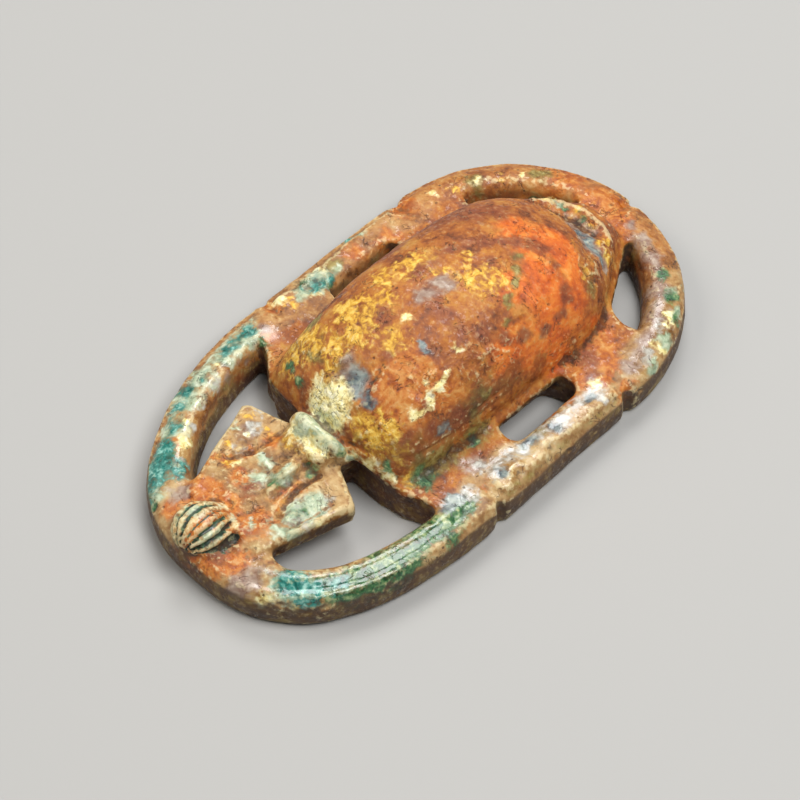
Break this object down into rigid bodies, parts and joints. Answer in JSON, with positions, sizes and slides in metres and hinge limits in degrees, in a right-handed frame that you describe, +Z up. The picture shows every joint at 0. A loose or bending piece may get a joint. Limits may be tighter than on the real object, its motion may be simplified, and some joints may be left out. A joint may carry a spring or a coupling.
{
  "type": "scarab amulet",
  "caption": "Openwork beetle amulet: a high domed body and flat head inside an oval frame of folded legs, with a ribbed ball at the front and a flat underside.",
  "frame": {"origin": "centre of the outline, on the flat underside", "axes": "+Z up out of the back, +Y along the body towards the tail, so the head points to -Y"},
  "size_m": [0.0348, 0.0624, 0.0156],
  "materials": {
    "glazed_stone": "glossy worn glaze, orange brown with green and cream remains"
  },
  "bodies": {
    "root": {"scarab_amulet": "glazed_stone"}
  },
  "joints": []
}
